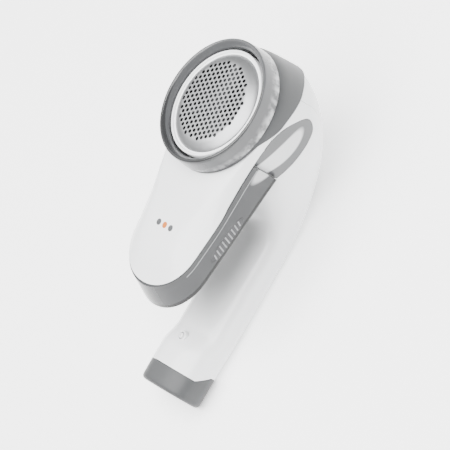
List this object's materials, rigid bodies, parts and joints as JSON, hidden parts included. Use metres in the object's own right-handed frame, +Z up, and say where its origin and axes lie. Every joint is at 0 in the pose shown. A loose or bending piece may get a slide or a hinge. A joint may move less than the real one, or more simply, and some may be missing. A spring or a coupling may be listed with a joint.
{
  "type": "fabric shaver",
  "caption": "Battery fabric shaver with a round foil head over a spinning cutter, a lint bin under a tongue-shaped face and a handle below.",
  "frame": {"origin": "under the middle of the shaver's length, on the surface its handle lies on", "axes": "+X along the shaver from the battery cap to the round head, +Y across it, +Z up, the way the foil faces"},
  "size_m": [0.1643, 0.0672, 0.08],
  "materials": {
    "white_plastic": "gloss",
    "grey_plastic": "satin",
    "smoke_plastic": "clear smoky gloss",
    "foil_steel": "fine satin",
    "steel": "bright",
    "motor_can": "satin",
    "dark_plastic": "matte",
    "brass": "bright",
    "cell_sleeve": "printed sleeve",
    "red_insulation": "satin",
    "black_insulation": "satin"
  },
  "bodies": {
    "body": {"front_shell": "white_plastic", "rear_shell": "white_plastic", "switch_body": "dark_plastic", "face_panel": "white_plastic", "side_insert_right": "smoke_plastic", "side_insert_left": "smoke_plastic", "head_collar": "grey_plastic", "cutter_housing": "grey_plastic", "motor_case": "motor_can", "motor_end_bell": "dark_plastic", "motor_terminal_pos": "brass", "motor_terminal_neg": "brass", "grip_screw": "steel", "neck_screw": "steel", "housing_screw_1": "steel", "housing_screw_2": "steel", "housing_screw_3": "steel", "motor_screw_1": "steel", "motor_screw_2": "steel", "battery_1": "cell_sleeve", "battery_2": "cell_sleeve", "contact_carrier": "dark_plastic", "battery_contact": "steel", "battery_spring": "steel", "lead_contact_to_switch": "red_insulation", "lead_switch_to_motor": "red_insulation", "lead_spring_to_motor": "black_insulation"},
    "cutter": {"motor_shaft": "steel", "cutter_hub": "dark_plastic", "blade_1": "steel", "blade_2": "steel", "blade_3": "steel", "cutter_spring": "steel"},
    "foil_unit": {"foil": "foil_steel", "foil_ring": "white_plastic"},
    "net_cover": {"net_cover": "smoke_plastic"},
    "lint_bin": {"lint_bin": "smoke_plastic"},
    "switch": {"switch_knob": "grey_plastic"},
    "battery_cap": {"battery_cap": "grey_plastic", "cap_contact": "steel", "cap_spring": "steel"}
  },
  "joints": [
    {"name": "cutter_spin", "type": "hinge", "parent": "body", "child": "cutter", "pos_m": [0.0478, 0, 0.0776], "axis": [0.0419, 0, 0.9991], "continuous": true},
    {"name": "foil_lift", "type": "slide", "parent": "body", "child": "foil_unit", "axis": [0.0419, 0, 0.9991], "range_m": [0, 0.03]},
    {"name": "ring_twist", "type": "hinge", "parent": "foil_unit", "child": "net_cover", "pos_m": [0.0478, 0, 0.0776], "axis": [0.0419, 0, 0.9991], "range_deg": [0, 30]},
    {"name": "bin_slide", "type": "slide", "parent": "body", "child": "lint_bin", "axis": [-1, 0, 0], "range_m": [0, 0.11]},
    {"name": "switch_slide", "type": "slide", "parent": "body", "child": "switch", "axis": [0.9448, 0, 0.3277], "range_m": [0, 0.005]},
    {"name": "cap_pull", "type": "slide", "parent": "body", "child": "battery_cap", "axis": [-1, 0, 0], "range_m": [0, 0.025]}
  ]
}
